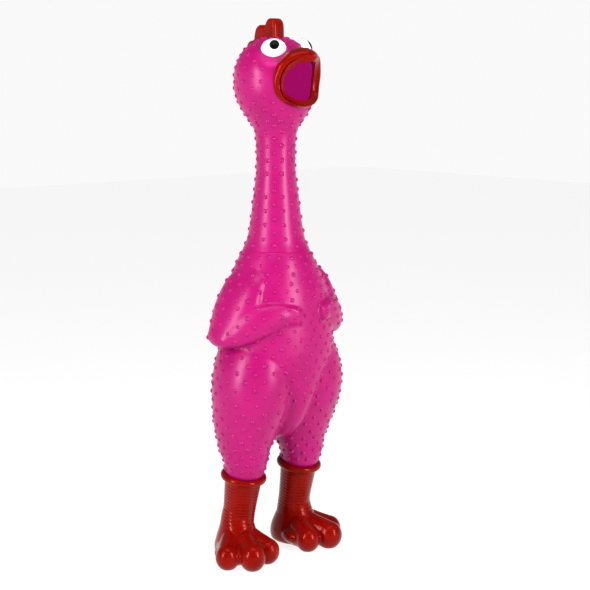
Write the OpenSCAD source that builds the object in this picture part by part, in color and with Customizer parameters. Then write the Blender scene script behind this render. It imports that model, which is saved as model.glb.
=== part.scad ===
// Rubber chicken: a hollow soft-vinyl squeeze toy that screams when its body is squeezed.
// It stands on its boots and faces -Y. Its right side is -X. The origin is on the floor,
// at the middle of the plan outline. All sizes are in millimetres.

/* [Skin] */
// Wall of the soft vinyl skin
wall = 3; // [2.5:0.25:3.5]
// Gap between two skins that touch but move apart
gap = 0.3; // [0.2:0.05:0.5]

/* [Head and neck] */
// Height of the glued joint between the neck and the torso
seam_z = 461; // [458:1:464]
// Outer radius of the neck at that joint
seam_r = 48.3; // [47:0.1:49]
// Outer radius at the thinnest part of the neck
neck_r = 28.2; // [27:0.2:30]
// Outer radius of the head at its widest
head_r = 60; // [58:0.5:61]
// Height where the neck nods
nod_z = 500; // [495:1:505]
// Height where the head sways
sway_z = 608; // [604:1:612]
// Length of skin that gives way at each neck bend
flex_len = 30; // [28:1:32]

/* [Face] */
// Radius of the mouth hole through the head skin
mouth_r = 27; // [25:0.5:28]
// Height of the middle of the mouth
mouth_z = 701; // [699:1:703]
// How far the upper beak reaches in front of the neck's axis
beak_reach = 82.5; // [80:0.5:85]
// How far the lower beak reaches
jaw_reach = 64; // [63:1:69]
// Thickness of the beak's lip
lip_t = 7; // [6:0.5:8]
// Half the width of an eye
eye_w = 18; // [17:0.5:19]
// Half the height of an eye
eye_h = 15; // [14:0.5:15.5]
// How far an eye stands out from its middle
eye_out = 14.5; // [14:0.5:15]
// Direction of each eye from straight ahead, in degrees
eye_turn = 45; // [43:1:47]
// Radius of a pupil
pupil_r = 6.9; // [6:0.1:7.2]

/* [Torso] */
// Radius of the round belly patch that gives when squeezed
belly_r = 45; // [40:1:46]
// Height of the middle of that patch
belly_z = 300; // [296:1:304]
// How far an elbow stands from the middle plane
elbow_x = 103.5; // [100:0.5:106]

/* [Legs and boots] */
// Distance of each ankle from the middle plane
leg_x = 54.6; // [54:0.2:56]
// Height of a boot's rolled cuff
cuff_z = 127; // [126:1:128]
// Radius of the middle of the cuff's bead
cuff_r = 28.6; // [28.4:0.1:29]
// Radius of that bead
bead_r = 4.6; // [4.3:0.1:4.7]
// Lean of the boot's shaft from upright, in degrees
shaft_lean = 11; // [9:0.5:12]
// How far the toes turn out, in degrees
toe_out = 18; // [16:1:20]

/* [Squeaker] */
// Outer radius of the squeaker tube
tube_r = 12.9; // [12.5:0.1:13.5]
// Length of the reed
reed_len = 39; // [36:1:40]
// Angle that the resting reed stands off its seat, in degrees
reed_open = 2; // [1.5:0.5:2]

/* [Hidden] */
$fn = 48;
pink = "deeppink";
red = "firebrick";
ankle_y = 11;            // the cuff's middle, behind the neck's axis
// Distances below the cuff along the boot's shaft
plug_end = 24;           // end of the leg inside the boot
flex_top = 27;
flex_end = 45;

// Outer outline of the head and neck as [radius, height], from the joint to the crown.
head_keys = [[seam_r, seam_z], [43.5, 471], [40.5, 482], [36.8, 504], [33.8, 528],
             [30.8, 551], [neck_r + 0.2, 574], [neck_r, 598], [28.8, 618], [31, 631],
             [36, 641], [43, 651], [52, 666], [58.4, 684], [head_r, 702], [57.6, 721],
             [48, 741.5], [36, 752.5], [20, 760], [0, 762.5]];
// Torso sections from the crotch up, as [height, half width, half depth, middle's Y].
torso_keys = [[168, 12, 18, 4], [175, 26, 33, 2], [190, 41, 47, -1], [210, 55, 58, -3],
              [240, 69, 68, -4], [275, 79, 73, -4], [307, 83, 75, -3], [340, 85, 75, -3],
              [376, 82, 73, -2], [405, 76, 69, -1], [430, 64, 61, 0], [446, 55.5, 54.5, 0],
              [seam_z, seam_r, seam_r, 0]];
// Thigh sections down to the shin, as [height, X, Y, radius].
thigh_keys = [[338, 44, 0, 30], [318, 47.5, 1, 46], [292, 49.5, 2, 54], [262, 50.5, 3, 57],
              [235, 51, 4, 54.5], [207, 52.5, 6, 48.5], [183, 53.5, 8, 41.5],
              [165, 54, 9, 36.5]];
// The rest of the leg, as [distance above the cuff along the shaft, radius].
shin_keys = [[25, 32], [15, 29.8], [7.5, 28], [4.9, 25.5], [1, 23.6], [-8, 22.4], [-20, 21.8],
             [-plug_end, 17]];

// ---- curve helpers -------------------------------------------------------------
// One Catmull-Rom point between b and c, at share t, with neighbours a and d.
function curve_point(a, b, c, d, t) =
    0.5 * (2 * b + (c - a) * t + (2 * a - 5 * b + 4 * c - d) * t * t
           + (3 * b - 3 * c + d - a) * t * t * t);
// A smooth run through the key points, with so many steps between two of them.
function smooth_run(keys, steps) =
    let (last = len(keys) - 1)
    concat([for (i = [0 : last - 1], s = [0 : steps - 1])
                curve_point(keys[max(i - 1, 0)], keys[i], keys[i + 1], keys[min(i + 2, last)],
                            s / steps)],
           [keys[last]]);
// The same outline moved inwards by d, along each point's normal.
function moved_in(run, d) =
    let (last = len(run) - 1)
    [for (i = [0 : last])
        let (along = run[min(i + 1, last)] - run[max(i - 1, 0)],
             n = [-along[1], along[0]] / norm(along))
        [max(run[i][0] + n[0] * d, 0), run[i][1] + n[1] * d]];
// The part of an outline between two heights.
function between(run, low, high) =
    [for (p = run) if (p[1] > low + 0.01 && p[1] < high - 0.01) p];
// The outline's radius at a height.
function radius_at(run, z) = lookup(z, [for (p = run) [p[1], p[0]]]);

head_run = smooth_run(head_keys, 2);
head_inner = moved_in(head_run, wall);

// ---- shared shapes -------------------------------------------------------------
// A closed skin through rings from low to high, each [middle, half width, half depth,
// tilt about X], with so many sides.
module loft(rings, sides) {
    last = len(rings) - 1;
    points = [for (r = rings, i = [0 : sides - 1])
                  let (a = 360 * i / sides)
                  r[0] + [r[1] * cos(a), r[2] * sin(a) * cos(r[3]), r[2] * sin(a) * sin(r[3])]];
    walls = [for (k = [0 : last - 1], i = [0 : sides - 1])
                 let (n = (i + 1) % sides)
                 [k * sides + i, (k + 1) * sides + i, (k + 1) * sides + n, k * sides + n]];
    polyhedron(points, concat(walls, [[for (i = [0 : sides - 1]) i]],
                              [[for (i = [sides - 1 : -1 : 0]) last * sides + i]]));
}

// Makes one plain mesh of what it holds, so that many skins join cleanly.
module as_mesh() resize([0, 0, 0]) union() children();

// A band of the head and neck skin between two heights.
module skin_band(low, high) {
    outer = between(head_run, low, high);
    inner = between(head_inner, low, high);
    rotate_extrude($fn = 96)
        polygon(concat([[radius_at(head_run, low), low]], outer,
                       [[radius_at(head_run, high), high],
                        [radius_at(head_inner, high), high]],
                       [for (i = [len(inner) - 1 : -1 : 0]) inner[i]],
                       [[radius_at(head_inner, low), low]]));
}

// The head as a filled shape, grown a little, to trim what sits on it.
module head_filled(grow = 0) {
    run = moved_in(between(head_run, 600, 770), -grow);
    rotate_extrude($fn = 96)
        polygon(concat([[0, run[0][1]]], run, [[0, run[len(run) - 1][1] + 0.01]]));
}

// A place on the left boot's shaft, so far below the cuff, leaning back as it goes down.
module on_shaft(below = 0)
    translate([leg_x, ankle_y, cuff_z]) rotate([shaft_lean, 0, 0]) translate([0, 0, -below])
        children();
function shaft_point(above) = [leg_x, ankle_y - above * sin(shaft_lean),
                               cuff_z + above * cos(shaft_lean)];

module torso_core(shrink = 0)
    loft([for (s = smooth_run(torso_keys, 2))
              [[0, s[3], s[0]], s[1] - shrink, s[2] - shrink, 0]], 32);

// One leg, from inside the torso to its closed end in the boot.
module leg(shrink = 0) {
    shin = [for (i = [len(shin_keys) - 1 : -1 : 0])
                let (s = shin_keys[i], end = i == len(shin_keys) - 1 ? shrink : 0)
                [shaft_point(s[0] + end), s[1] - shrink, s[1] - shrink,
                 min(shaft_lean, shaft_lean * (30 - s[0]) / 16)]];
    thigh = smooth_run([for (i = [len(thigh_keys) - 1 : -1 : 0]) thigh_keys[i]], 1);
    loft(concat(shin, [for (s = thigh) [[s[1], s[2], s[0]], s[3] - shrink, s[3] - shrink, 0]]),
         24);
}

// An egg shape with its own half sizes along X, Y and Z.
module egg(place, half_x, half_y, half_z, shrink, sides)
    translate(place)
        scale([(half_x - shrink) / 10, (half_y - shrink) / 10, (half_z - shrink) / 10])
            sphere(r = 10, $fn = sides);

// Left wing: the upper arm hangs to the elbow, and the forearm lies across the belly.
module wing(shrink = 0) {
    forearm = [[[elbow_x - 3, -4, 336], 14], [[82, -32, 345], 14], [[56, -57, 361], 12],
               [[28, -70, 378], 9]];
    hull() {
        egg([61, -3, 403], 26, 42, 38, shrink, 20);
        egg([elbow_x, 5, 336], 14, 30, 14, shrink, 20);
    }
    for (i = [0 : len(forearm) - 2])
        hull() for (s = [forearm[i], forearm[i + 1]])
            egg(s[0], s[1], s[1], s[1], shrink, 16);
}

// The tail stub at the back.
module tail(shrink = 0)
    hull() {
        egg([0, 50, 235], 24, 24, 24, shrink, 20);
        egg([0, 76, 262], 10, 10, 10, shrink, 20);
    }

// Everything that the body skin's mould shapes, filled.
module body_filled(shrink = 0) {
    torso_core(shrink);
    tail(shrink);
    for (side = [0, 1]) mirror([side, 0, 0]) {
        wing(shrink);
        leg(shrink);
    }
}

// ---- body skin -----------------------------------------------------------------
// A round bar across the front of the belly, along Y.
module belly_bar(r)
    translate([0, -35, belly_z]) rotate([90, 0, 0]) cylinder(r = r, h = 80, $fn = 64);

// The hollow body wall before the belly patch is parted from it, open at the neck.
module body_wall()
    difference() {
        body_filled();
        body_filled(wall);
        translate([0, 0, seam_z - 22]) cylinder(r = seam_r - wall, h = 40, $fn = 80);
    }

module torso_skin() color(pink)
    as_mesh() {
        difference() {
            body_wall();
            belly_bar(belly_r);
        }
        // the socket that takes the neck's spigot
        difference() {
            translate([0, 0, seam_z - 20]) cylinder(r = seam_r - 0.5, h = 19.8, $fn = 80);
            translate([0, 0, seam_z - 22]) cylinder(r = seam_r - wall, h = 40, $fn = 80);
        }
    }
module belly_panel() color(pink)
    as_mesh() intersection() {
        body_wall();
        belly_bar(belly_r - gap - 0.2);
    }

// ---- neck and head skin --------------------------------------------------------
module neck_root_skin() color(pink) {
    skin_band(seam_z, nod_z - flex_len / 2);
    // the spigot that is glued into the torso's socket
    difference() {
        union() {
            translate([0, 0, seam_z - 18]) cylinder(r = seam_r - wall - gap, h = 20, $fn = 96);
            translate([0, 0, seam_z]) cylinder(r = seam_r - 1.8, h = 2, $fn = 96);
        }
        translate([0, 0, seam_z - 20]) cylinder(r = seam_r - 2 * wall - gap, h = 30, $fn = 96);
    }
}
module neck_lower_flex() color(pink)
    skin_band(nod_z - flex_len / 2, nod_z + flex_len / 2 - 0.2);
module neck_skin() color(pink)
    skin_band(nod_z + flex_len / 2, sway_z - flex_len / 2);
module neck_upper_flex() color(pink)
    skin_band(sway_z - flex_len / 2, sway_z + flex_len / 2 - 0.2);
module head_skin() color(pink)
    difference() {
        skin_band(sway_z + flex_len / 2, 770);
        translate([0, 0, mouth_z]) rotate([90, 0, 0]) cylinder(r = mouth_r, h = 100, $fn = 96);
    }

// ---- face ----------------------------------------------------------------------
// A point of the lip's crest at angle t, which is 0 at the top of the mouth. The upper
// half is a wedge that narrows to a point in front, and the lower half is rounder.
function crest(t) =
    let (c = cos(t), s = sin(t), side = 33.5, flat = 51.5)
    [-side * s,
     c > 0 ? -(flat + (beak_reach - flat) * (1 - abs(s))) : -(flat + (jaw_reach - flat) * c * c),
     mouth_z + (c > 0 ? 35 * pow(c, 1.3) : -33 * pow(-c, 0.65))];
// Where the beak's outside springs from the head, at the same angle.
function root(t) =
    let (c = cos(t), s = sin(t))
    [-42 * s, -(42 + (c > 0 ? 7 : 1) * abs(c)),
     mouth_z + (c > 0 ? 42 * pow(c, 1.2) : -39 * pow(-c, 0.7))];

module beak() color(red)
    as_mesh() difference() {
        for (t = [0 : 15 : 345])
            hull() for (a = [t, t + 15]) {
                translate(crest(a)) sphere(r = lip_t / 2, $fn = 12);
                translate(root(a)) sphere(r = lip_t / 2, $fn = 12);
            }
        head_filled(0.15);
    }

// Comb lobes as [Y, height of the lobe's middle, radius, half thickness].
comb_lobes = [[5.5, 776.5, 12.5, 10.3], [25, 767, 13, 9.8], [45, 748.5, 9, 7]];
module comb_lobe(l, drop = 0)
    for (x = [-1, 1])
        translate([x * (l[3] - 6), l[0], l[1] - drop])
            scale([6 / l[2], 1, 1]) sphere(r = l[2], $fn = 20);
module comb() color(red)
    as_mesh() difference() {
        union() {
            for (l = comb_lobes)
                hull() { comb_lobe(l); comb_lobe(l, 20); }
            for (i = [0, 1])
                hull() { comb_lobe(comb_lobes[i], 13); comb_lobe(comb_lobes[i + 1], 10); }
        }
        head_filled(0.15);
    }

// The right eye's place, with its outward direction along +Z.
module eye_place()
    rotate([0, 0, -eye_turn]) translate([0, -37.5, 745]) rotate([84, 0, 0]) children();
// The eye's oval dome, raised or sunk a little.
module dome(lift = 0)
    scale([(eye_w + lift) / 10, (eye_h + lift) / 10, (eye_out + lift) / 10])
        sphere(r = 10, $fn = 24);
// A round bar through the pupil's place.
module pupil_bar(r) translate([1.7, 5, 0]) cylinder(r = r, h = 30, $fn = 32);

module right_eye_shape()
    as_mesh() difference() {
        eye_place() difference() {
            dome();
            difference() { pupil_bar(pupil_r); dome(-1.2); }
        }
        head_filled(0.15);
    }
module right_pupil_shape()
    as_mesh() eye_place() intersection() {
        difference() { dome(0.4); dome(-1.1); }
        pupil_bar(pupil_r - 0.1);
    }
module right_eye() color("white") right_eye_shape();
module left_eye() color("white") mirror([1, 0, 0]) right_eye_shape();
module right_pupil() color("black") right_pupil_shape();
module left_pupil() color("black") mirror([1, 0, 0]) right_pupil_shape();

// ---- boots ---------------------------------------------------------------------
// A length of the boot's shaft wall between two distances below the cuff.
module shaft_wall(top, low, r_top, r_low)
    on_shaft(low) difference() {
        cylinder(r1 = r_low, r2 = r_top, h = low - top, $fn = 64);
        translate([0, 0, -0.01])
            cylinder(r1 = r_low - wall, r2 = r_top - wall, h = low - top + 0.02, $fn = 64);
    }
module boot_cuff() {
    shaft_wall(2, flex_top, 27.6, 25.8);
    on_shaft() rotate_extrude($fn = 64) translate([cuff_r, 0]) circle(r = bead_r, $fn = 20);
}
module boot_flex() shaft_wall(flex_top + 0.2, flex_end - 0.2, 25.8, 24.6);

// Toes as [turn from straight ahead, distance from the shaft, radius].
toes = [[-33, 59, 18], [0, 70, 19.5], [33, 60, 18]];
// Where the shaft's axis would meet the sole.
foot_mid = shaft_point(-(cuff_z - 22) / cos(shaft_lean));
module boot_foot_shape() {
    difference() {
        union() {
            translate([foot_mid[0], foot_mid[1], 0]) rotate([0, 0, toe_out]) {
                for (toe = toes)
                    hull() {
                        translate([0, -6, 30]) sphere(r = 21, $fn = 24);
                        rotate([0, 0, toe[0]]) translate([0, -toe[1], toe[2] * 0.95])
                            sphere(r = toe[2], $fn = 24);
                    }
                hull() {
                    translate([0, 2, 24]) sphere(r = 25, $fn = 24);
                    translate([0, -40, 16]) sphere(r = 18, $fn = 24);
                }
            }
            hull() {
                on_shaft(flex_end + 0.5) cylinder(r = 24.6, h = 0.5, $fn = 40);
                on_shaft(76) cylinder(r = 23.7, h = 0.5, $fn = 40);
            }
            hull() {
                on_shaft(68) rotate([0, 0, 4.5]) cylinder(r = 24.3, h = 0.5, $fn = 40);
                translate([foot_mid[0], foot_mid[1], 0]) rotate([0, 0, toe_out])
                    translate([0, 2, 24]) sphere(r = 25, $fn = 24);
            }
        }
        // the hollow of the shaft and heel
        hull() {
            on_shaft(flex_end - 1) cylinder(r = 21.6, h = 0.01, $fn = 40);
            translate([foot_mid[0], foot_mid[1], 26]) sphere(r = 20, $fn = 24);
        }
        translate([-100, -100, -100]) cube([300, 300, 100]);
    }
}
module left_boot_cuff() color(red) boot_cuff();
module right_boot_cuff() color(red) mirror([1, 0, 0]) boot_cuff();
module left_boot_flex() color(red) boot_flex();
module right_boot_flex() color(red) mirror([1, 0, 0]) boot_flex();
module left_boot_foot() color(red) as_mesh() boot_foot_shape();
module right_boot_foot() color(red) as_mesh() mirror([1, 0, 0]) boot_foot_shape();

// ---- squeaker ------------------------------------------------------------------
plug_z = seam_z - 18;      // the plug's face under the neck's spigot
tube_low = plug_z - 36;
tube_wall = 1.9;
core_r = tube_r - tube_wall - 0.1;
module bulkhead_plug() color("white")
    difference() {
        union() {
            translate([0, 0, plug_z - 4]) cylinder(r = seam_r - wall - 2 * gap, h = 4);
            translate([0, 0, plug_z - 0.5])
                cylinder(r = seam_r - 2 * wall - gap - 0.2, h = 8.5);
        }
        translate([0, 0, plug_z - 10]) cylinder(r = tube_r + 0.1, h = 30);
    }
module squeaker_tube() color("ivory")
    difference() {
        union() {
            translate([0, 0, tube_low]) cylinder(r = tube_r, h = 47);
            translate([0, 0, plug_z + 8]) cylinder(r = tube_r + 5, h = 3);
        }
        translate([0, 0, tube_low - 1]) cylinder(r = tube_r - tube_wall, h = 60);
    }
module squeaker_end_cap() color("white")
    difference() {
        translate([0, 0, tube_low - 2.5]) cylinder(r = tube_r + 1.7, h = 11);
        translate([0, 0, tube_low]) cylinder(r = tube_r + 0.05, h = 20);
        for (i = [0 : 5]) rotate([0, 0, 60 * i]) translate([6.5, 0, tube_low - 5])
            cylinder(r = 2, h = 6, $fn = 24);
        translate([0, 0, tube_low - 5]) cylinder(r = 2, h = 6, $fn = 24);
    }
// The trough that the reed beats against: a half round with a channel along its flat.
module reed_shallot() color("silver")
    translate([0, 0, tube_low + 1]) difference() {
        cylinder(r = core_r, h = 42);
        translate([-20, 0, -1]) cube([40, 20, 50]);
        translate([0, 0, 9]) cylinder(r = 5.5, h = 40, $fn = 32);
    }
module reed() color("orange")
    translate([0, 0.7, tube_low + 7]) rotate([-reed_open, 0, 0])
        translate([-7.5, -0.3, -5]) cube([15, 0.6, reed_len]);
module reed_wedge() color("white")
    translate([0, 0, tube_low + 1]) difference() {
        cylinder(r = core_r, h = 6);
        translate([-20, -20, -1]) cube([40, 21.6, 12]);
    }

torso_skin();
belly_panel();
neck_root_skin();
neck_lower_flex();
neck_skin();
neck_upper_flex();
head_skin();
beak();
comb();
right_eye();
left_eye();
right_pupil();
left_pupil();
right_boot_cuff();
left_boot_cuff();
right_boot_flex();
left_boot_flex();
right_boot_foot();
left_boot_foot();
bulkhead_plug();
squeaker_tube();
squeaker_end_cap();
reed_shallot();
reed();
reed_wedge();
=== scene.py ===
import math
import bpy
import numpy as np
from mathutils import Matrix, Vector
from mathutils.bvhtree import BVHTree


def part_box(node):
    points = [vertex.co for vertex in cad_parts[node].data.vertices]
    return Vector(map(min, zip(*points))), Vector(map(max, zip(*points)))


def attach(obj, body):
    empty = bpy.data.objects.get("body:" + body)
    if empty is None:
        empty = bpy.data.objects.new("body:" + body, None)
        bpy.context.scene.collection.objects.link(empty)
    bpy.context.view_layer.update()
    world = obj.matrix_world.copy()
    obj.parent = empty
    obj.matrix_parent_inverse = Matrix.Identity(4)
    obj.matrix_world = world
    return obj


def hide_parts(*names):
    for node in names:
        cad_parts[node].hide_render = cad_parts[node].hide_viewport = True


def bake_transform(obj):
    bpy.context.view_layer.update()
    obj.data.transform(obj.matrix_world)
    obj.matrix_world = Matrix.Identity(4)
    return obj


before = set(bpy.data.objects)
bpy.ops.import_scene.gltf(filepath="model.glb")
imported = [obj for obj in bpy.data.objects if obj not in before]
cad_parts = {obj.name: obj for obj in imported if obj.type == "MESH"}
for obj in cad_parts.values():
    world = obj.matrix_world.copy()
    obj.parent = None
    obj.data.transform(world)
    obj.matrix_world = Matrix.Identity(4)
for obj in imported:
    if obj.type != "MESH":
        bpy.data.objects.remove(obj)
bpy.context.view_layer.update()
print("frame loaded")

# lengths are in millimetres, and become metres when a mesh is made
mm = 0.001
scene = bpy.context.scene
scene.view_settings.view_transform = "Standard"


def nodeBox(name):
    low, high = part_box(name)
    return np.array(low) / mm, np.array(high) / mm


spigotLength = 18
seamHeight = nodeBox("neck_root_skin")[0][2] + spigotLength      # the glued joint round the neck
crownHeight = nodeBox("head_skin")[1][2]


# a Catmull-Rom curve through the keys, even steps from key to key
def curveThrough(keys, count):
    keys = np.asarray(keys, float)
    t = np.linspace(0, len(keys) - 1, count)
    i = np.minimum(t.astype(int), len(keys) - 2)
    f = (t - i)[:, None]
    ends = np.vstack([2 * keys[0] - keys[1], keys, 2 * keys[-1] - keys[-2]])
    a, b, c, d = (ends[i + k] for k in range(4))
    return 0.5 * (2 * b + (c - a) * f + (2 * a - 5 * b + 4 * c - d) * f ** 2
                  + (3 * b - 3 * c + d - a) * f ** 3)


# the same through a stack of closed loops: keys has shape (keys in the loop, ..., 3)
def loopThrough(keys, perKey):
    f = (np.arange(perKey) / perKey).reshape((1, perKey) + (1,) * (keys.ndim - 1))
    a, b, c, d = (np.roll(keys, 1 - k, axis=0)[:, None] for k in range(4))
    run = 0.5 * (2 * b + (c - a) * f + (2 * a - 5 * b + 4 * c - d) * f ** 2
                 + (3 * b - 3 * c + d - a) * f ** 3)
    return run.reshape((-1,) + keys.shape[1:])


# quads of a grid whose columns close on themselves, and its rows too if asked
def gridFaces(rows, cols, closeRows=False):
    i = np.arange(rows if closeRows else rows - 1)[:, None]
    j = np.arange(cols)[None, :]
    n = (i + 1) % rows
    k = (j + 1) % cols
    return np.stack([i * cols + j, i * cols + k, n * cols + k, n * cols + j], -1).reshape(-1, 4)


# a closed skin through a stack of rings, with a pole at each end
def closedRings(rings):
    rows, cols = rings.shape[:2]
    j = np.arange(cols)
    k = (j + 1) % cols
    low, high = rows * cols, rows * cols + 1
    top = (rows - 1) * cols
    verts = np.vstack([rings.reshape(-1, 3), rings[0].mean(0), rings[-1].mean(0)])
    faces = (gridFaces(rows, cols).tolist()
             + np.stack([np.full(cols, low), k, j], -1).tolist()
             + np.stack([np.full(cols, high), top + j, top + k], -1).tolist())
    return verts, faces


# rings of an oval section, whose half sizes and middle follow sections of
# [height, half width, half depth, middle's x, middle's y], tilted about x by the last value
def uprightLoft(sections, count, sides):
    z, a, b, x, y, tilt = curveThrough(sections, count).T[:, :, None]
    turn = np.radians(np.arange(sides) * 360 / sides)[None, :]
    lean = np.radians(tilt)
    across, along = a * np.cos(turn), b * np.sin(turn)
    return closedRings(np.stack([x + across, y + along * np.cos(lean), z + along * np.sin(lean)], -1))


# a limb: oval rings square to a path, half sizes given at the path's keys, with domed ends
def limb(path, halfSide, halfUp, side, count=22, sides=28):
    run = curveThrough(np.column_stack([path, halfSide, halfUp]), count)
    centre, a, b = run[:, :3], run[:, 3], run[:, 4]
    along = np.gradient(centre, axis=0)
    along /= np.linalg.norm(along, axis=1)[:, None]
    dome = np.radians(np.linspace(80, 10, 6))
    for end in (0, -1):
        reach = min(a[end], b[end]) * np.sin(dome) * (-1 if end == 0 else 1)
        extra = centre[end] + along[end] * reach[:, None]
        thinA, thinB = a[end] * np.cos(dome), b[end] * np.cos(dome)
        ends = [extra, thinA, thinB, np.repeat(along[end][None], 6, 0)]
        rest = [centre, a, b, along]
        order = [ends, rest] if end == 0 else [rest, [e[::-1] for e in ends]]
        centre, a, b, along = (np.concatenate(pair) for pair in zip(*order))
    up = np.cross(along, np.asarray(side, float))
    up /= np.linalg.norm(up, axis=1)[:, None]
    out = np.cross(up, along)
    turn = np.radians(np.arange(sides) * 360 / sides)[None, :, None]
    rings = (centre[:, None] + out[:, None] * a[:, None, None] * np.cos(turn)
             + up[:, None] * b[:, None, None] * np.sin(turn))
    return closedRings(rings)


# an egg: a sphere stretched to three half sizes
def egg(centre, halves, rows=20, sides=28):
    down = np.radians(np.linspace(-86, 86, rows))[:, None]
    turn = np.radians(np.arange(sides) * 360 / sides)[None, :]
    ball = np.stack([np.cos(down) * np.cos(turn), np.cos(down) * np.sin(turn),
                     np.sin(down) * np.ones_like(turn)], -1)
    return closedRings(np.asarray(centre, float) + ball * np.asarray(halves, float))


# the same shape on the other side of the body
def mirrored(shape):
    verts, faces = shape
    return verts * (-1, 1, 1), [list(reversed(f)) for f in faces]


# several shapes as one list of points and faces
def joined(shapes):
    verts, faces, base = [], [], 0
    for v, f in shapes:
        verts.append(v)
        faces += [[base + i for i in face] for face in f]
        base += len(v)
    return np.vstack(verts), faces


# melts overlapping solids into one skin and softens their creases
def fused(shapes, voxel, softening):
    verts, faces = joined(shapes)
    mesh = bpy.data.meshes.new("fusing")
    mesh.from_pydata((verts * mm).tolist(), [], faces)
    melt = bpy.data.objects.new("fusing", mesh)
    scene.collection.objects.link(melt)
    remesh = melt.modifiers.new("fuse", "REMESH")
    remesh.mode = "VOXEL"
    remesh.voxel_size = voxel * mm
    smooth = melt.modifiers.new("soften", "SMOOTH")
    smooth.factor = 0.5
    smooth.iterations = softening
    graph = bpy.context.evaluated_depsgraph_get()
    done = bpy.data.meshes.new_from_object(melt.evaluated_get(graph))
    coords = np.empty(len(done.vertices) * 3)
    done.vertices.foreach_get("co", coords)
    skin = coords.reshape(-1, 3) / mm, [list(p.vertices) for p in done.polygons]
    bpy.data.objects.remove(melt)
    bpy.data.meshes.remove(mesh)
    bpy.data.meshes.remove(done)
    return skin


# vertex normals as the sum of the quads' area vectors round each vertex
def skinNormals(verts, quads):
    cross = np.cross(verts[quads[:, 2]] - verts[quads[:, 0]], verts[quads[:, 3]] - verts[quads[:, 1]])
    normals = np.zeros_like(verts)
    for k in range(4):
        np.add.at(normals, quads[:, k], cross)
    return normals / np.maximum(np.linalg.norm(normals, axis=1), 1e-9)[:, None]


# a wall of one thickness: the skin, the same skin moved inwards, and a strip at each open edge
def walled(verts, quads, thickness):
    inner = verts - skinNormals(verts, quads) * thickness
    count = len(verts)
    edges = np.vstack([quads[:, [k, (k + 1) % 4]] for k in range(4)])
    keys = np.sort(edges, 1) @ np.array([count, 1])
    _, first, seen = np.unique(keys, return_index=True, return_counts=True)
    rim = edges[first[seen == 1]]
    strip = np.stack([rim[:, 1], rim[:, 0], rim[:, 0] + count, rim[:, 1] + count], -1)
    faces = np.vstack([quads, quads[:, ::-1] + count, strip])
    used = np.unique(faces)
    places = np.full(2 * count, -1)
    places[used] = np.arange(len(used))
    return np.vstack([verts, inner])[used], places[faces].tolist()


# edges that turn by more degrees than this stay sharp
sharpFrom = 55


# one piece from several shapes; the optional mask marks each point that the material gives a painted
# glow, in place of light shining through from behind
def makePiece(name, shapes, material, painted_glow=None):
    verts, faces = joined(shapes)
    mesh = bpy.data.meshes.new(name)
    mesh.from_pydata((verts * mm).tolist(), [], faces)
    if painted_glow is not None:
        lit = mesh.attributes.new("painted_glow", "FLOAT", "POINT")
        lit.data.foreach_set("value", painted_glow(verts).astype(float))
    mesh.polygons.foreach_set("use_smooth", np.ones(len(mesh.polygons), bool))
    mesh.materials.append(material)
    mesh.update()
    mesh.set_sharp_from_angle(angle=math.radians(sharpFrom))
    piece = bpy.data.objects.new(name, mesh)
    scene.collection.objects.link(piece)
    return piece


# the raised bumps on the pink skin, in millimetres
bumpLook = {"radius": 3.5, "height": 2.1, "sides": 10, "spread": 0.12}
bumpOut = np.array([0.34, 0.62, 0.84, 1.0])      # ring radii, as shares of the bump's radius
bumpUp = np.array([0.93, 0.68, 0.26, -0.22])     # ring heights, as shares of its height
dice = np.random.default_rng(7)


# one closed dome for each place, standing along the skin's normal, its rim sunk in the skin
def bumpsAt(places, normals):
    n, sides = len(places), bumpLook["sides"]
    turn = np.radians(np.arange(sides) * 360 / sides)
    flat = np.stack([np.cos(turn), np.sin(turn)], -1)
    rings = np.concatenate([np.concatenate([flat * r, np.full((sides, 1), h)], 1)
                            for r, h in zip(bumpOut, bumpUp)])
    shape = np.vstack([[0, 0, 1], rings])
    size = 1 + dice.uniform(-1, 1, (n, 1, 1)) * bumpLook["spread"]
    helper = np.where(np.abs(normals[:, 2:3]) > 0.9, [[1.0, 0, 0]], [[0, 0, 1.0]])
    side = np.cross(helper, normals)
    side /= np.linalg.norm(side, axis=1)[:, None]
    other = np.cross(normals, side)
    scaled = shape * (bumpLook["radius"], bumpLook["radius"], bumpLook["height"]) * size
    verts = (places[:, None] + side[:, None] * scaled[..., 0:1] + other[:, None] * scaled[..., 1:2]
             + normals[:, None] * scaled[..., 2:3])
    j = np.arange(sides)
    k = (j + 1) % sides
    tip = np.stack([np.zeros(sides, int), 1 + j, 1 + k], -1)
    walls = np.concatenate([np.stack([1 + r * sides + j, 1 + (r + 1) * sides + j,
                                      1 + (r + 1) * sides + k, 1 + r * sides + k], -1)
                            for r in range(len(bumpOut) - 1)])
    floor = (1 + (len(bumpOut) - 1) * sides + j[::-1])[None]
    step = np.arange(n)[:, None, None] * len(shape)
    faces = []
    for part in (tip, walls, floor):
        faces += (part[None] + step).reshape(-1, part.shape[1]).tolist()
    return verts.reshape(-1, 3), faces


# an sRGB hex colour as a linear one
def linear(code):
    value = np.array([int(code[i:i + 2], 16) for i in (1, 3, 5)]) / 255
    curve = np.where(value <= 0.04045, value / 12.92, ((value + 0.055) / 1.055) ** 2.4)
    return (*curve.tolist(), 1.0)


# adds a node with its settings, then its links as {input: output socket}
def addNode(tree, kind, settings=None, links=None):
    node = tree.nodes.new(kind)
    for key, value in (settings or {}).items():
        if isinstance(key, int) or key in node.inputs:
            node.inputs[key].default_value = value
        else:
            setattr(node, key, value)
    for key, source in (links or {}).items():
        tree.links.new(source, node.inputs[key])
    return node


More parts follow.
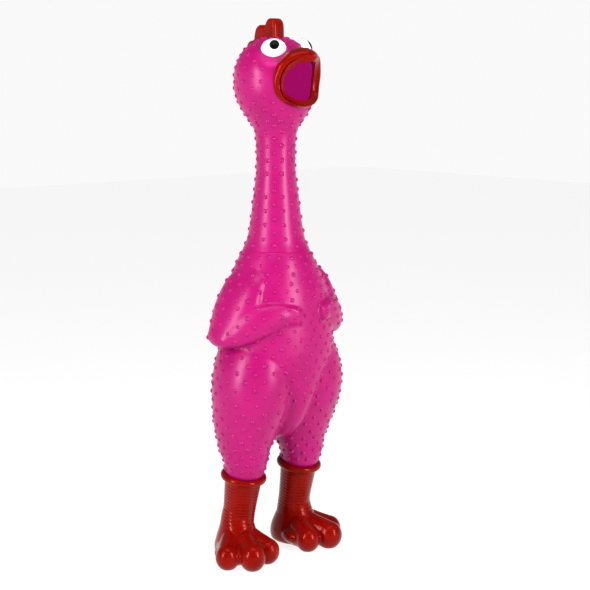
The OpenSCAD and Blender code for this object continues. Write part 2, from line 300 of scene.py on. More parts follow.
# moulded plastics differ in colour, gloss and see-through depth; the mottle and the fine
# texture are sizes in millimetres on the surface
def mouldedMaterial(name, look):
    material = bpy.data.materials.new(name)
    material.use_nodes = True
    tree = material.node_tree
    shader = tree.nodes["Principled BSDF"]
    for key in ("Roughness", "IOR", "Subsurface Weight", "Subsurface Radius", "Subsurface Scale",
                "Coat Weight", "Coat Roughness", "Specular IOR Level"):
        if key in look:
            shader.inputs[key].default_value = look[key]
    if "shine" in look:
        shader.inputs["Specular Tint"].default_value = linear(look["shine"])
    place = addNode(tree, "ShaderNodeTexCoord").outputs["Object"]
    mottle = addNode(tree, "ShaderNodeTexNoise",
                     {"Scale": 1 / (look["mottle"] * mm), "Detail": 3.0, "Roughness": 0.55},
                     {"Vector": place})
    ramp = addNode(tree, "ShaderNodeValToRGB", {}, {"Fac": mottle.outputs["Fac"]})
    ramp.color_ramp.elements[0].position = 0.3
    ramp.color_ramp.elements[0].color = linear(look["dark"])
    ramp.color_ramp.elements[1].position = 0.7
    ramp.color_ramp.elements[1].color = linear(look["light"])
    tree.links.new(ramp.outputs["Color"], shader.inputs["Base Color"])
    gloss = addNode(tree, "ShaderNodeMapRange",
                    {"From Min": 0.3, "From Max": 0.7, "To Min": look["Roughness"] - look["glossSpread"],
                     "To Max": look["Roughness"] + look["glossSpread"]},
                    {"Value": mottle.outputs["Fac"]})
    tree.links.new(gloss.outputs["Result"], shader.inputs["Roughness"])
    fine = addNode(tree, "ShaderNodeTexNoise",
                   {"Scale": 1 / (look["texture"] * mm), "Detail": 2.0}, {"Vector": place})
    bump = addNode(tree, "ShaderNodeBump",
                   {"Strength": look["textureStrength"], "Distance": 0.0002},
                   {"Height": fine.outputs["Fac"]})
    tree.links.new(bump.outputs["Normal"], shader.inputs["Normal"])
    # painted glow: emission on the marked points, standing in for light that comes through the thin wall
    if "paintedGlowStrength" in look:
        lit = addNode(tree, "ShaderNodeAttribute", {"attribute_name": "painted_glow"})
        strength = addNode(tree, "ShaderNodeMath", {"operation": "MULTIPLY", 1: look["paintedGlowStrength"]},
                           {0: lit.outputs["Fac"]})
        tree.links.new(strength.outputs["Value"], shader.inputs["Emission Strength"])
        shader.inputs["Emission Color"].default_value = linear(look["glow"])
    return material


# soft PVC, rotocast: an even strong pink with a soft sheen and a little depth; its glow is a painted glow
# on the inside of the head, in place of light coming through the wall
pinkVinyl = mouldedMaterial("rotocast pink vinyl", {
    "dark": "#970458", "light": "#A40A62", "Roughness": 0.33, "glossSpread": 0.04, "IOR": 1.5,
    "Specular IOR Level": 0.28, "shine": "#FFD7F3",
    "Subsurface Weight": 0.12, "Subsurface Radius": (1.0, 0.15, 0.4), "Subsurface Scale": 0.003,
    "mottle": 60, "texture": 1.6, "textureStrength": 0.22, "glow": "#BE1480", "paintedGlowStrength": 0.48})
# the same vinyl, dipped or sprayed red: a glossy lacquer over a deep red
redVinyl = mouldedMaterial("glossy red vinyl", {
    "dark": "#6C0301", "light": "#7E0702", "Roughness": 0.22, "glossSpread": 0.04, "IOR": 1.5,
    "Specular IOR Level": 0.26, "shine": "#FF9581",
    "mottle": 25, "texture": 1.2, "textureStrength": 0.12})
# gloss enamel on the eyes: clean white with a sharp shine
eyeEnamel = mouldedMaterial("gloss white enamel", {
    "dark": "#F2F1EE", "light": "#FBFAF8", "Roughness": 0.2, "glossSpread": 0.02, "IOR": 1.5,
    "Coat Weight": 0.3, "Coat Roughness": 0.05, "mottle": 20, "texture": 1.0,
    "textureStrength": 0.05})
pupilEnamel = mouldedMaterial("gloss black enamel", {
    "dark": "#020202", "light": "#040404", "Roughness": 0.3, "glossSpread": 0.03, "IOR": 1.5,
    "Specular IOR Level": 0.1, "mottle": 12, "texture": 1.0,
    "textureStrength": 0.05})
# injection-moulded polyethylene, waxy and matt: the squeaker's parts
squeakerPolythene = mouldedMaterial("moulded natural polythene", {
    "dark": "#DDD8CB", "light": "#EAE6DB", "Roughness": 0.45, "glossSpread": 0.05, "IOR": 1.51,
    "Subsurface Weight": 0.2, "Subsurface Radius": (1.0, 0.9, 0.8), "Subsurface Scale": 0.002,
    "mottle": 12, "texture": 0.8, "textureStrength": 0.3})
# cut polyester film, smooth and amber: the reed
reedFilm = mouldedMaterial("cut polyester film", {
    "dark": "#C98A3A", "light": "#D89A48", "Roughness": 0.25, "glossSpread": 0.04, "IOR": 1.57,
    "Coat Weight": 0.2, "Coat Roughness": 0.1, "mottle": 8, "texture": 0.6,
    "textureStrength": 0.1})
print("materials made")


# the neck and head's outline is [radius, height], from the glued joint to the crown
neckHead = {"outline": [[48.3, 460.6], [43.5, 471], [40.5, 482], [36.8, 504], [33.8, 528],
                        [30.8, 551], [28.4, 574], [28.2, 598], [28.8, 618], [31, 631],
                        [36, 641], [43, 651], [52, 666], [58.4, 684], [60, 702], [57.6, 721],
                        [48, 741.5], [36, 752.5], [20, 760], [2, 762.4]],
            "wall": 3.0, "split": 554.0, "headFrom": 640.0, "sides": 112,
            "neckRings": 56, "headRings": 120, "nodReach": 28, "swayReach": 27,
            "mouthHalfWidth": 36, "mouthHalfHeight": 35, "mouthMiddle": 703.0,
            "neckColumns": 16, "headColumns": 24, "bumpRows": 20.0, "clearOfEdge": 6.0,
            "firstBump": 9.0, "crownClear": 14.0, "bumpDrift": 1.2, "bumpTurn": 0.02}
beak = {"middle": 701.0, "bulge": 3.0, "hoodBulge": 3.8, "ridge": 2.9, "depth": 12.0}
eye = {"turn": 45.0, "tilt": 6.0, "out": 37.5, "height": 745.0,
       "halfWidth": 18.0, "halfHeight": 15.0, "depth": 14.5, "rings": 22, "sides": 48,
       "pupilRadius": 6.9, "pupilAcross": 1.7, "pupilUp": 5.0,
       "dent": 4.2, "dentOut": 52, "dentBelow": 9, "dentWidth": 19}
outline = curveThrough(neckHead["outline"], 800)
stride = np.append(0, np.cumsum(np.linalg.norm(np.diff(outline, axis=0), axis=1)))
splitStride = np.interp(neckHead["split"], outline[:, 1], stride)
headStride = np.interp(neckHead["headFrom"], outline[:, 1], stride)


# the outline turned about the neck's axis: radius and height by distance along the outline,
# and the angle round the axis by column
def turned(strides, sides):
    r = np.interp(strides, stride, outline[:, 0])[:, None]
    z = np.interp(strides, stride, outline[:, 1])[:, None]
    turn = np.radians(np.arange(sides) * 360 / sides)[None, :]
    return np.stack([r * np.cos(turn), r * np.sin(turn), z * np.ones_like(turn)], -1)


# a bump's place and the skin's normal there, by distance along the outline and angle
def turnedBumps(strides, angles):
    r, z = (np.interp(strides, stride, outline[:, k]) for k in (0, 1))
    wider, higher = (np.interp(strides + 1, stride, outline[:, k])
                     - np.interp(strides - 1, stride, outline[:, k]) for k in (0, 1))
    size = np.hypot(wider, higher)
    across, up = higher / size, -wider / size
    places = np.stack([r * np.cos(angles), r * np.sin(angles), z], -1)
    return places, np.stack([across * np.cos(angles), across * np.sin(angles), up], -1)


# staggered columns of bumps between two distances along the outline
def bumpLattice(low, high, columns):
    rows = np.arange(low, high, neckHead["bumpRows"] / 2)
    turn = np.arange(columns) * 2 * math.pi / columns
    found = [(s, a) for i, s in enumerate(rows) for k, a in enumerate(turn) if (i + k) % 2 == 0]
    strides, angles = np.array(found).T
    drift, swing = neckHead["bumpDrift"], neckHead["bumpTurn"]
    strides = strides + dice.uniform(-drift, drift, len(strides))
    return turnedBumps(strides, angles + dice.uniform(-swing, swing, len(angles)))


# no bumps under the beak, round the eyes or beside the comb
def clearOfFace(places):
    x, y, z = places.T
    mouth = (x / 47) ** 2 + ((z - beak["middle"] - 4) / 48) ** 2 < 1
    turn = math.radians(eye["turn"])
    fromEye = np.hypot(np.abs(x) - math.sin(turn) * 42, y + math.cos(turn) * 42)
    nearEye = np.hypot(fromEye, (z - eye["height"]) * 1.1) < 23
    nearComb = (np.abs(x) < 15) & (y > -14) & (y < 58) & (z > 728)
    return ~((mouth & (y < 0)) | nearEye | nearComb)


# the lower neck, from the glued joint to the middle of the neck
def neckRoot():
    rows = np.linspace(0, splitStride, neckHead["neckRings"])
    grid = turned(rows, neckHead["sides"])
    shell = walled(grid.reshape(-1, 3), gridFaces(len(rows), neckHead["sides"]), neckHead["wall"])
    places, normals = bumpLattice(neckHead["firstBump"], splitStride - neckHead["clearOfEdge"],
                                  neckHead["neckColumns"])
    piece = makePiece("neck_root_moulding", [shell, bumpsAt(places, normals)], pinkVinyl)
    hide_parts("neck_root_skin", "neck_lower_flex", "neck_skin")
    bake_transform(piece)


# the inside of the head's wall, which gets a painted glow in place of light coming through the thin vinyl
def insideWall(verts):
    r = np.hypot(verts[:, 0], verts[:, 1])
    skin = np.interp(verts[:, 2], outline[:, 1], outline[:, 0])
    inHead = (verts[:, 2] > neckHead["headFrom"]) & (verts[:, 2] < crownHeight - 2)
    deep = (verts[:, 2] < 728) | (r < skin - neckHead["wall"] * 2)
    return (r < skin - neckHead["wall"] * 0.7) & inHead & deep


# the skin sits back a little under each eye, so the whole dome shows
def dentUnderEyes(verts):
    for side in (-1, 1):
        turn = math.radians(eye["turn"])
        under = np.array([side * math.sin(turn), -math.cos(turn)])
        spot = np.array([*(under * eye["dentOut"]), eye["height"] - eye["dentBelow"]])
        near = np.exp(-(np.linalg.norm(verts - spot, axis=1) / eye["dentWidth"]) ** 2)
        verts[:, :2] -= near[:, None] * under * eye["dent"]


# the upper neck and head, open at the mouth and closed by a low cap at the crown
def headMoulding():
    sides = neckHead["sides"]
    rows = np.linspace(splitStride, stride[-1], neckHead["headRings"])
    verts = turned(rows, sides).reshape(-1, 3)
    faces = gridFaces(len(rows), sides)
    dentUnderEyes(verts)
    middles = verts[faces].mean(1)
    across = middles[:, 0] / neckHead["mouthHalfWidth"]
    above = (middles[:, 2] - neckHead["mouthMiddle"]) / neckHead["mouthHalfHeight"]
    inMouth = (across ** 2 + above ** 2 < 1) & (middles[:, 1] < 0)
    shapes = [walled(verts, faces[~inMouth], neckHead["wall"])]
    bands = ((splitStride + neckHead["clearOfEdge"], headStride, neckHead["neckColumns"]),
             (headStride + neckHead["clearOfEdge"], stride[-1] - neckHead["crownClear"],
              neckHead["headColumns"]))
    for low, high, columns in bands:
        places, normals = bumpLattice(low, high, columns)
        keep = clearOfFace(places)
        shapes.append(bumpsAt(places[keep], normals[keep]))
    crown = verts[-sides:]
    shapes.append((np.vstack([crown, [[0, 0, crownHeight + 0.05]]]),
                   [[i, (i + 1) % sides, sides] for i in range(sides)]))
    piece = makePiece("head_moulding", shapes, pinkVinyl, painted_glow=insideWall)
    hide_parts("neck_upper_flex", "head_skin")
    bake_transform(piece)


neckRoot()
print("lower neck made")
headMoulding()
print("head made")


# right half of each line round the mouth, from the top to the bottom: where the beak leaves
# the head, its fine raised line, and the edge of the opening
beakRoot = [[0, -46, 745], [-12, -46.5, 742.5], [-23, -46, 736.5], [-35, -44.3, 725],
            [-41.6, -43.4, 708], [-41, -42.8, 690], [-35.2, -44.6, 678.5], [-24.7, -47.8, 670.5],
            [-12, -50.5, 666], [0, -51.5, 664.5]]
beakRidge = [[0, -84, 733.5], [-9, -79, 733], [-18, -71, 730], [-27, -61.5, 722.5],
             [-32.5, -54.5, 711.5], [-34, -51, 700], [-33, -51, 688], [-27.5, -55.5, 678],
             [-14, -62, 670.5], [0, -65, 668.5]]
beakInner = [[0, -79.5, 727.5], [-8, -75, 727.2], [-15, -67, 725], [-22, -58, 718.5],
             [-26.5, -51, 709], [-27.5, -47.8, 699], [-26.5, -47.5, 689], [-21.5, -51, 681.5],
             [-10.5, -58, 675.5], [0, -61, 674]]


# the whole loop from its right half
def roundMouth(half):
    half = np.array(half, float)
    other = half[-2:0:-1] * (-1, 1, 1)
    return loopThrough(np.vstack([half, other]), 8)


# a closed rim: one section carried round the mouth, blended between the three lines
def beakRim():
    root, ridge, inner = (roundMouth(half) for half in (beakRoot, beakRidge, beakInner))
    outward = ridge - np.array([0, 0, beak["middle"]])
    outward[:, 1] = 0
    outward /= np.linalg.norm(outward, axis=1)[:, None]
    hood = np.clip(outward[:, 2:3], 0, 1) ** 1.3
    front = np.array([[0, -1.0, 0]])
    face = outward * (0.55 + 0.4 * hood) + front * (0.75 - 0.55 * hood)
    face /= np.linalg.norm(face, axis=1)[:, None]
    bulge = beak["bulge"] + beak["hoodBulge"] * hood
    back = -front * beak["depth"]
    # the section runs from the head over a full outside, a fine raised line and an inner band,
    # round the lip's edge and back into the head
    section = np.stack([
        root * 0.985 + np.array([0, 0, beak["middle"] * 0.015]),
        root * 0.9 + ridge * 0.1 + face * bulge * 0.55,
        root * 0.62 + ridge * 0.38 + face * bulge,
        root * 0.28 + ridge * 0.72 + face * bulge * 0.86,
        root * 0.14 + ridge * 0.86 + face * (bulge * 0.3 - 0.9),
        ridge + face * beak["ridge"],
        ridge * 0.76 + inner * 0.24 - face * 0.9,
        ridge * 0.4 + inner * 0.6,
        inner,
        inner + back * 0.3 + outward * 1.4,
        inner + back * 0.85 + outward * 6.5,
        root * 0.8 + inner * 0.2 + back * 0.6])
    rings = loopThrough(section, 5).transpose(1, 0, 2)
    faces = gridFaces(rings.shape[0], rings.shape[1], closeRows=True)
    piece = makePiece("beak_rim", [(rings.reshape(-1, 3), faces.tolist())], redVinyl)
    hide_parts("beak")
    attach(piece, "head")


beakRim()
print("beak made")


# the comb's lobed outline as [distance back, height]
comb = {"halfThickness": 10.3, "edge": 3.6, "edgeRings": 11,
        "outline": [[-7.5, 740], [-8.6, 756], [-8.4, 772], [-6.6, 783], [0, 788.6], [7.5, 787.4],
                    [12.4, 781], [14.6, 777.6], [19, 779.6], [26, 779.8], [32.6, 775.5],
                    [36, 767], [37.2, 760.6], [41, 758.4], [47, 757.4], [52.6, 752],
                    [53.4, 742], [46, 732], [16, 728]]}


# a slab with rounded edges: the outline, moved in along its own normal by a quarter circle
# at each side
def combCrest():
    line = loopThrough(np.array(comb["outline"]), 7)
    ahead = np.roll(line, -1, 0) - np.roll(line, 1, 0)
    inwards = np.stack([ahead[:, 1], -ahead[:, 0]], -1) / np.linalg.norm(ahead, axis=1)[:, None]
    flatHalf = comb["halfThickness"] - comb["edge"]
    rings = []
    for a in np.radians(np.linspace(-90, 90, comb["edgeRings"])):
        inset = line + inwards * comb["edge"] * (1 - math.cos(a))
        x = math.copysign(flatHalf, a) * (abs(a) > 1e-6) + comb["edge"] * math.sin(a)
        rings.append(np.column_stack([np.full(len(inset), x), inset]))
    rings = np.array(rings)
    count = rings.shape[1]
    last = (len(rings) - 1) * count
    faces = [f[::-1] for f in gridFaces(len(rings), count).tolist()]
    faces += [list(range(count)), list(range(last, last + count))[::-1]]
    piece = makePiece("comb_crest", [(rings.reshape(-1, 3), faces)], redVinyl)
    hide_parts("comb")
    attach(piece, "head")


combCrest()
print("comb made")


# turns points from an eye's own frame, outward along +z, to the right side of the head
def eyePlace(points):
    lean, turn = math.radians(90 - eye["tilt"]), math.radians(-eye["turn"])
    x, y, z = points[..., 0], points[..., 1], points[..., 2]
    y, z = y * math.cos(lean) - z * math.sin(lean), y * math.sin(lean) + z * math.cos(lean)
    y, z = y - eye["out"], z + eye["height"]
    return np.stack([x * math.cos(turn) - y * math.sin(turn),
                     x * math.sin(turn) + y * math.cos(turn), z], -1)


# the dome's height at a point across it: half an egg
def domeDepth(x, y):
    inside = np.clip(1 - (x / eye["halfWidth"]) ** 2 - (y / eye["halfHeight"]) ** 2, 0, 1)
    return eye["depth"] * inside ** 0.5


# the white dome, and the pupil as a thin disc that lies on it
def eyes():
    share = np.sin(np.radians(np.linspace(3, 90, eye["rings"])))[::-1][:, None]
    turn = np.radians(np.arange(eye["sides"]) * 360 / eye["sides"])[None, :]
    x = eye["halfWidth"] * share * np.cos(turn)
    y = eye["halfHeight"] * share * np.sin(turn)
    white = closedRings(eyePlace(np.stack([x, y, domeDepth(x, y)], -1)))
    reach = np.array([0.9, 1.0, 1.0, 0.93, 0.8, 0.6, 0.4, 0.2, 0.05])[:, None] * eye["pupilRadius"]
    lift = np.array([-1.0, -0.8, 0.15, 0.42, 0.5, 0.5, 0.5, 0.5, 0.5])[:, None]
    x = eye["pupilAcross"] + reach * np.cos(turn)
    y = eye["pupilUp"] + reach * np.sin(turn)
    pupil = closedRings(eyePlace(np.stack([x, y, domeDepth(x, y) + lift], -1)))
    for side, turnOver in (("right", lambda shape: shape), ("left", mirrored)):
        for part, shape, finish, slotName in (("eye", white, eyeEnamel, "eye_white"),
                                              ("pupil", pupil, pupilEnamel, "pupil_black")):
            piece = makePiece(f"{side}_{part}_dome", [turnOver(shape)], finish)
            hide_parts(f"{side}_{part}")
            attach(piece, "head")


eyes()
print("eyes made")


# core and thigh sections are [height, half width, half depth, middle's x, middle's y, tilt],
# shin sections [height above the ankle along the leaning leg, radius]
torso = {"core": [[181, 9, 14, 0, -2, 0], [187, 15, 25, 0, -3, 0], [197, 20, 36, 0, -3, 0],
                  [212, 27, 48, 0, -3, 0], [240, 38, 60, 0, -4, 0], [272, 58, 69, 0, -4, 0],
                  [307, 82, 75, 0, -3, 0], [340, 86, 75, 0, -3, 0], [376, 83, 73, 0, -2, 0],
                  [405, 76, 69, 0, -1, 0], [430, 64, 61, 0, 0, 0], [446, 56, 55, 0, 0, 0],
                  [458, 49.4, 49.2, 0, 0, 0], [463, 45.8, 45.8, 0, 0, 0], [472, 40.5, 40.5, 0, 0, 0]],
         "ankle": (54.6, 11.0, 127.0), "lean": 11.0,
         "thigh": [[340, 30, 40, 44, 0, 0], [318, 45.5, 55, 46, -2, 0], [292, 53.5, 60, 48, -3, 0],
                   [262, 56.5, 61, 49.5, -3, 0], [235, 54, 57.5, 50.5, -0.5, 0],
                   [207, 48.5, 50, 52.5, 4.5, 0], [183, 41.5, 42.2, 53.5, 7.5, 0],
                   [165, 36.8, 36.8, 54, 9, 0]],
         "shin": [[25, 32.4], [15, 30.4], [8, 29.0], [4.5, 27.0], [0, 24.0], [-8, 22.4], [-20, 21]],
         "voxel": 2.2, "softening": 7,
         "crease": [[-41, 33, 449], [-50, 5, 444], [-54, -18, 437], [-56.5, -31, 428],
                    [-58.5, -37, 417], [-62, -41, 407], [-68, -41, 399]],
         "creaseWidth": 3.4, "creaseDepth": 1.7,
         "bumpRow": 11.5, "bumpDrift": 1.2, "bumpColumns": 24, "shoulderFrom": 425, "shoulderColumns": 20,
         "bodyFrom": 246, "legFrom": 141, "legTo": 244, "legColumns": 13,
         "bellyHeight": 0.3, "squeezeFrom": -0.046, "squeezeTo": -0.080}


# a point on the leaning leg's axis, by its distance above the ankle
def shaftPoint(above):
    x, y, z = torso["ankle"]
    lean = math.radians(torso["lean"])
    return np.array([x, y - above * math.sin(lean), z + above * math.cos(lean)])


# leg, shoulder, forearm and the wing's three fingers, all of the left side
def leftLimbs():
    shin = []
    for above, radius in reversed(torso["shin"]):
        x, y, z = shaftPoint(above)
        tilt = min(torso["lean"], torso["lean"] * (32 - above) / 18)      # upright by the thigh
        shin.append([z, radius, radius, x, y, tilt])
    leg = uprightLoft(shin + torso["thigh"][::-1], 70, 56)
    shoulder = limb([[44, -2, 438], [58, -3, 414], [78, 0, 376], [101, 4, 340]], [22, 39, 41, 27],
                    [8, 20, 22, 14], (0, 1, 0))
    forearm = limb([[101, -2, 339], [89, -27, 351], [69, -47, 366], [48, -60, 374], [31, -68, 376]],
                   [15, 20, 22, 18, 11], [12, 12.5, 12.5, 11.5, 9], (0.1, 0.25, 1))
    fingers = [limb([[44, -66, 384 - 8 * k], [30, -74, 381 - 7 * k], [21 + 2 * k, -77, 377 - 6 * k]],
                    [5.5, 5, 3.6], [5, 4.6, 3.4], (0, 0, 1), 12, 16) for k in range(3)]
    return [leg, shoulder, forearm] + fingers


# a fine crease round the front of each shoulder, pressed in towards the body's axis
def creaseShoulders(verts):
    near = np.full(len(verts), 1e9)
    folded = np.column_stack([-np.abs(verts[:, 0]), verts[:, 1:]])
    for point in curveThrough(torso["crease"], 60):
        near = np.minimum(near, np.linalg.norm(folded - point, axis=1))
    press = np.clip(1 - (near / torso["creaseWidth"]) ** 2, 0, 1) ** 2 * torso["creaseDepth"]
    across = verts[:, :2] / np.maximum(np.linalg.norm(verts[:, :2], axis=1), 1)[:, None]
    verts[:, :2] -= across * press[:, None]


# bump places on the skin, found by looking out from the middle of the body and of each leg
def torsoBumps(verts, faces):
    tree = BVHTree.FromPolygons(verts.tolist(), faces)
    farthest, drift = 200, torso["bumpDrift"]
    hits = []
    for i, z in enumerate(np.arange(torso["bodyFrom"], seamHeight - 5, torso["bumpRow"])):
        columns = torso["bumpColumns"] if z < torso["shoulderFrom"] else torso["shoulderColumns"]
        for k in range(columns):
            a = (k + 0.5 * (i % 2)) * 2 * math.pi / columns + dice.uniform(-0.03, 0.03)
            middle = (0, -2, z + dice.uniform(-drift, drift))
            spot, normal, _, _ = tree.ray_cast(middle, (math.cos(a), math.sin(a), 0), farthest)
            if spot is not None:
                hits.append((spot, normal))
    upwards = np.array(torso["thigh"][::-1])
    columns = torso["legColumns"]
    for side in (-1, 1):
        for i, z in enumerate(np.arange(torso["legFrom"], torso["legTo"], torso["bumpRow"])):
            x, y, r = (np.interp(z, upwards[:, 0], upwards[:, k]) for k in (3, 4, 1))
            for k in range(columns):
                a = (k + 0.5 * (i % 2)) * 2 * math.pi / columns + dice.uniform(-0.04, 0.04)
                middle = (side * x, y, z + dice.uniform(-drift, drift))
                spot, normal, _, far = tree.ray_cast(middle, (math.cos(a), math.sin(a), 0), farthest)
                # a ray that runs on into the other leg, or meets the fork, leaves no bump
                if spot is not None and far < r * 1.3 and not (z > 165 and side * spot[0] < 14):
                    hits.append((spot, normal))
    return np.array([spot for spot, _ in hits]), np.array([normal for _, normal in hits])


def torsoMoulding():
    core = uprightLoft(torso["core"], 90, 72)
    tail = limb([[0, 34, 262], [0, 54, 266], [0, 73, 278]], [40, 34, 21], [30, 17, 7], (1, 0, 0))
    oneSide = leftLimbs()
    verts, faces = fused([core, tail] + oneSide + [mirrored(s) for s in oneSide],
                         torso["voxel"], torso["softening"])
    creaseShoulders(verts)
    print("torso fused,", len(faces), "faces")
    places, normals = torsoBumps(verts, faces)
    print("torso bumps", len(places))
    piece = makePiece("torso_moulding", [(verts, faces), bumpsAt(places, normals)], pinkVinyl)
    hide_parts("torso_skin", "belly_panel")
    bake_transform(piece)


torsoMoulding()
print("torso made")


# shaft rows are [distance above the ankle, radius], foot rows [height, half width, half depth,
# middle's y] and toes [degrees out, reach, half width, half height]
boot = {"cuffRadius": 28.9, "bead": 5.3, "toeOut": 18.0, "voxel": 1.15, "softening": 9,
        "shaft": [[-2, 27.4], [-14, 26.4], [-27, 25.4], [-45, 24.2], [-62, 23.6], [-84, 24.0]],
        "cupInside": [[23.0, -4], [22.6, -24], [22.4, -29], [0.5, -30]],
        "foot": [[1, 25, 34, -8], [6, 31, 40, -10], [16, 34, 43, -12], [28, 32, 40, -11],
                 [40, 28.5, 33, -9], [52, 25.2, 27.5, -8.5], [64, 23.2, 24, -8], [76, 21.5, 21.5, -10]],
        "toes": [[-32, 58, 20, 17.8], [0, 68.5, 21.5, 19], [32, 59, 20, 17.8]],
        "ribPitch": 4.9, "ribHeight": 0.32, "ribsFrom": 8, "ribsTo": 80,
        "bendFrom": -20, "bendTo": -52}
ankle = np.array(torso["ankle"])
leanAngle = math.radians(torso["lean"])
footMid = shaftPoint(-(ankle[2] - 22) / math.cos(leanAngle))


# points given as [x, y, along the shaft's axis above the cuff], set on the leaning shaft
def onShaft(points):
    x, y, z = points[..., 0], points[..., 1], points[..., 2]
    return np.stack([ankle[0] + x, ankle[1] + y * math.cos(leanAngle) - z * math.sin(leanAngle),
                     ankle[2] + y * math.sin(leanAngle) + z * math.cos(leanAngle)], -1)


# points given from the foot's middle on the floor, with -y towards the toes
def onFoot(points):
    points = np.asarray(points, float)
    a = math.radians(boot["toeOut"])
    x, y, z = points[..., 0], points[..., 1], points[..., 2]
    return np.stack([footMid[0] + x * math.cos(a) - y * math.sin(a),
                     footMid[1] + x * math.sin(a) + y * math.cos(a), z], -1)


# the shaft as a cup: down the outside, over the rolled bead, and down the inside to a floor
def bootShaft():
    bead = np.radians(np.linspace(-75, 255, 16))
    beadLine = np.column_stack([boot["cuffRadius"] + boot["bead"] * np.cos(bead),
                                boot["bead"] * np.sin(bead)])
    outside = curveThrough(boot["shaft"][::-1], 40)[:, ::-1]
    line = np.vstack([[[0.5, -84]], outside, beadLine, boot["cupInside"]])
    turn = np.radians(np.arange(72) * 5)[None, :]
    return closedRings(onShaft(np.stack([line[:, :1] * np.cos(turn), line[:, :1] * np.sin(turn),
                                         line[:, 1:] * np.ones_like(turn)], -1)))


# one toe: its back from the instep, a low roll from the heel that keeps the foot's side one
# wall, and the round tip
def toe(swingOut, reach, wide, ball):
    a = math.radians(swingOut)
    path = onFoot([[math.sin(a) * d, -math.cos(a) * d, h] for d, h in
                   ((2, 32), (reach * 0.36, 31), (reach * 0.68, 24), (reach, ball * 0.97))])
    roll = onFoot([[math.sin(a) * d, back - math.cos(a) * d, 18.5] for d, back in
                   ((24, 24), (reach * 0.62, 9), (reach, 0))])
    along = path[-1] - path[-2]
    along /= np.linalg.norm(along)
    tip = [path[-1] - along * 2, path[-1] + along * 1]
    return [limb(path, [13, 19.5, wide - 0.2, wide - 0.2], [10, 16, 17.6, ball - 0.5], (0, 0, 1)),
            limb(roll, [18, 18.5, 17], [18, 18, 17.2], (0, 0, 1)),
            limb(tip, [wide, wide], [ball, ball], (0, 0, 1), 4, 36)]


# ribs: a low wave along the shaft's axis that fades out over the foot and under the bead
def ribbed(verts):
    downAxis = np.array([0, math.sin(leanAngle), -math.cos(leanAngle)])
    down = (verts - ankle) @ downAxis
    arm = verts - (ankle + down[:, None] * downAxis)
    radius = np.linalg.norm(arm, axis=1)
    fade = np.clip((down - boot["ribsFrom"]) / 5, 0, 1) * np.clip((boot["ribsTo"] - down) / 16, 0, 1)
    fade *= np.clip((34 - radius) / 5, 0, 1)
    fade *= np.clip((radius - 20.5) / 2.5, 0, 1)
    wave = np.cos(down * 2 * math.pi / boot["ribPitch"]) * boot["ribHeight"] * fade
    return verts + arm / np.maximum(radius, 1)[:, None] * wave[:, None]


def boots():
    footVerts, footFaces = uprightLoft([[z, w, d, 0, y, 0] for z, w, d, y in boot["foot"]], 40, 48)
    shapes = [bootShaft(), (onFoot(footVerts), footFaces), egg(onFoot([0, -33, 18]), (46, 37, 18))]
    for row in boot["toes"]:
        shapes += toe(*row)
    verts, faces = fused(shapes, boot["voxel"], boot["softening"])
    verts = ribbed(verts)
    verts[:, 2] = np.maximum(verts[:, 2], 0)
    print("boot fused,", len(faces), "faces")
    for side, turnOver, flip in (("left", lambda shape: shape, (1, 1, 1)),
                                 ("right", mirrored, (-1, 1, 1))):
        piece = makePiece(f"{side}_boot", [turnOver((verts, faces))], redVinyl)
        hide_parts(f"{side}_boot_cuff", f"{side}_boot_flex", f"{side}_boot_foot")
        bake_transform(piece)


boots()
print("boots made")


# the squeaker's own solids keep their shape and take a better finish
def finishSqueaker():
    finishes = dict.fromkeys(("bulkhead_plug", "squeaker_tube", "squeaker_end_cap", "reed_shallot",
                              "reed_wedge"), squeakerPolythene)
    finishes["reed"] = reedFilm
    for name, finish in finishes.items():
        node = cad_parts[name]
        if not node.data.materials:
            node.data.materials.append(finish)
        for slot in node.material_slots:
            slot.material = finish


finishSqueaker()
print("squeaker finished")


# lights are [degrees from the camera, distance, height, width, tall, watts, height aimed at];
# lengths in the studio are in metres
studio = {"cameraHeight": 0.72, "cameraDistance": 2.05, "azimuth": -41.0, "pitch": 9.1,
          "sideways": 0.77, "lens": 86.7, "floorSize": 12.0, "floorGlow": 0.85,
          "wallGlow": 0.95, "skyGlow": 0.2, "wallTop": 0.06, "skyFrom": 0.22,
          "lights": {"left_strip": (-50, 2.0, 1.0, 0.34, 1.5, 47, 0.6),
                     "right_strip": (50, 2.0, 1.0, 0.42, 1.5, 52, 0.6),
                     "overhead": (0, 0.6, 2.4, 1.4, 1.0, 16, 0.45)}}


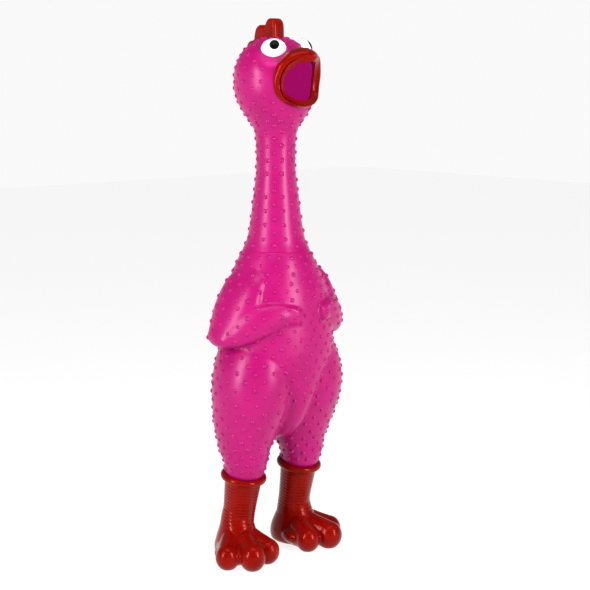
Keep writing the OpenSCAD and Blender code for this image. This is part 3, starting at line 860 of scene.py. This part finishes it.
# a pale floor that is lit from within a little, so it stays white round the feet
def studioFloor():
    paint = bpy.data.materials.new("lit white acrylic table")
    paint.use_nodes = True
    shader = paint.node_tree.nodes["Principled BSDF"]
    shader.inputs["Base Color"].default_value = linear("#7C7C7C")
    shader.inputs["Roughness"].default_value = 0.8
    shader.inputs["Emission Color"].default_value = linear("#FFFFFF")
    shader.inputs["Emission Strength"].default_value = studio["floorGlow"]
    half = studio["floorSize"] / 2
    mesh = bpy.data.meshes.new("studio_floor")
    mesh.from_pydata([(-half, -half, 0), (half, -half, 0), (half, half, 0), (-half, half, 0)],
                     [], [[0, 1, 2, 3]])
    mesh.materials.append(paint)
    floor = bpy.data.objects.new("studio_floor", mesh)
    scene.collection.objects.link(floor)


# white low down all round, like a lit wall, and dim above
def studioWalls():
    if scene.world is None:
        scene.world = bpy.data.worlds.new("studio")
    scene.world.use_nodes = True
    tree = scene.world.node_tree
    sky = tree.nodes["Background"]
    upwards = addNode(tree, "ShaderNodeSeparateXYZ", {},
                      {"Vector": addNode(tree, "ShaderNodeTexCoord").outputs["Generated"]})
    glow = addNode(tree, "ShaderNodeMapRange",
                   {"From Min": studio["wallTop"], "From Max": studio["skyFrom"],
                    "To Min": studio["wallGlow"], "To Max": studio["skyGlow"]},
                   {"Value": upwards.outputs["Z"]})
    tree.links.new(glow.outputs["Result"], sky.inputs["Strength"])
    sky.inputs["Color"].default_value = linear("#FFFFFF")


# a place round the chicken, by degrees from its front, distance and height
def around(azimuth, distance, height):
    a = math.radians(azimuth)
    return math.sin(a) * distance, -math.cos(a) * distance, height


# softboxes: area lights that face the chicken
def softboxes():
    for name, (swing, distance, height, width, tall, watts, aim) in studio["lights"].items():
        light = bpy.data.lights.new(name, "AREA")
        light.shape = "RECTANGLE"
        light.size = width
        light.size_y = tall
        light.energy = watts
        lamp = bpy.data.objects.new(name, light)
        lamp.location = around(studio["azimuth"] + swing, distance, height)
        lamp.rotation_euler = (Vector((0, 0, aim)) - lamp.location).to_track_quat("-Z", "Y").to_euler()
        scene.collection.objects.link(lamp)


def studioCamera():
    lens = bpy.data.cameras.new("camera")
    lens.lens = studio["lens"]
    lens.clip_end = 50
    camera = bpy.data.objects.new("camera", lens)
    camera.location = around(studio["azimuth"], studio["cameraDistance"], studio["cameraHeight"])
    camera.rotation_euler = (math.radians(90 - studio["pitch"]), 0,
                             math.radians(studio["azimuth"] - studio["sideways"]))
    scene.collection.objects.link(camera)
    scene.camera = camera


studioFloor()
studioWalls()
softboxes()
studioCamera()
print("studio made")
